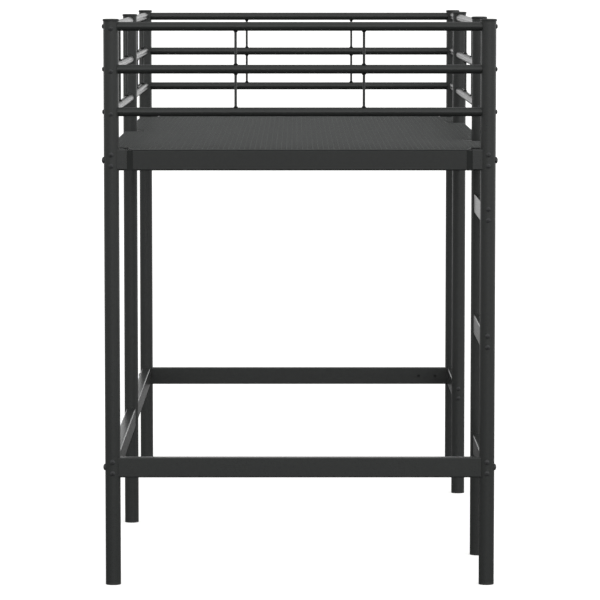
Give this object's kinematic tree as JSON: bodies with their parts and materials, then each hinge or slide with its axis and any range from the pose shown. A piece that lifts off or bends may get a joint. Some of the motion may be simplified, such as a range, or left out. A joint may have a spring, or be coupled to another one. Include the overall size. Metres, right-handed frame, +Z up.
{
  "type": "loft bed",
  "caption": "High sleeping platform of round steel posts with a bolted ladder, tube guard rails all round, a wire mesh deck and clear space below.",
  "frame": {"origin": "on the floor under the middle of the bed", "axes": "+Z up, +Y along the bed towards the rear end, -Y the front end beside the ladder, +X across the bed towards the ladder side"},
  "size_m": [0.9764, 2.0748, 1.405],
  "materials": {
    "powder_coat": "black powder coat, satin, fine grain",
    "wire_mesh": "black powder coat on welded wire",
    "plastic": "moulded black polyethylene",
    "black_bolts": "black oxide, satin",
    "zinc": "zinc plate"
  },
  "bodies": {
    "root": {"post_front_left": "powder_coat", "post_front_right": "powder_coat", "post_rear_left": "powder_coat", "post_rear_right": "powder_coat", "post_mid_left": "powder_coat", "post_ladder": "powder_coat", "post_guard": "powder_coat", "cap_front_left": "plastic", "cap_front_right": "plastic", "cap_rear_left": "plastic", "cap_rear_right": "plastic", "cap_mid_left": "plastic", "cap_ladder": "plastic", "cap_guard": "plastic", "foot_front_left": "plastic", "foot_front_right": "plastic", "foot_rear_left": "plastic", "foot_rear_right": "plastic", "foot_mid_left": "plastic", "foot_ladder": "plastic", "foot_guard": "plastic", "lower_rail_front": "powder_coat", "lower_rail_rear": "powder_coat", "lower_rail_left_front": "powder_coat", "lower_rail_left_rear": "powder_coat", "lower_rail_right_rear": "powder_coat", "rung_low": "powder_coat", "rung_middle": "powder_coat", "rung_high": "powder_coat", "bed_rail_left_front": "powder_coat", "bed_rail_left_rear": "powder_coat", "bed_rail_right_ladder": "powder_coat", "bed_rail_right_middle": "powder_coat", "bed_rail_right_rear": "powder_coat", "guard_front": "powder_coat", "guard_rear": "powder_coat", "guard_left_front": "powder_coat", "guard_left_rear": "powder_coat", "guard_right_middle": "powder_coat", "guard_right_rear": "powder_coat", "deck_side_left": "powder_coat", "deck_side_right": "powder_coat", "deck_end_front": "powder_coat", "deck_end_rear": "powder_coat", "deck_bar_front": "powder_coat", "deck_bar_mid_front": "powder_coat", "deck_bar_mid_rear": "powder_coat", "deck_bar_rear": "powder_coat", "mesh_front": "wire_mesh", "mesh_rear": "wire_mesh", "deck_brackets": "powder_coat", "deck_plugs": "plastic", "deck_screws": "zinc", "large_bolts": "black_bolts", "rail_bolts": "black_bolts", "guard_bolts": "black_bolts", "post_studs": "zinc", "rail_inserts": "zinc", "guard_inserts": "zinc"}
  },
  "joints": []
}
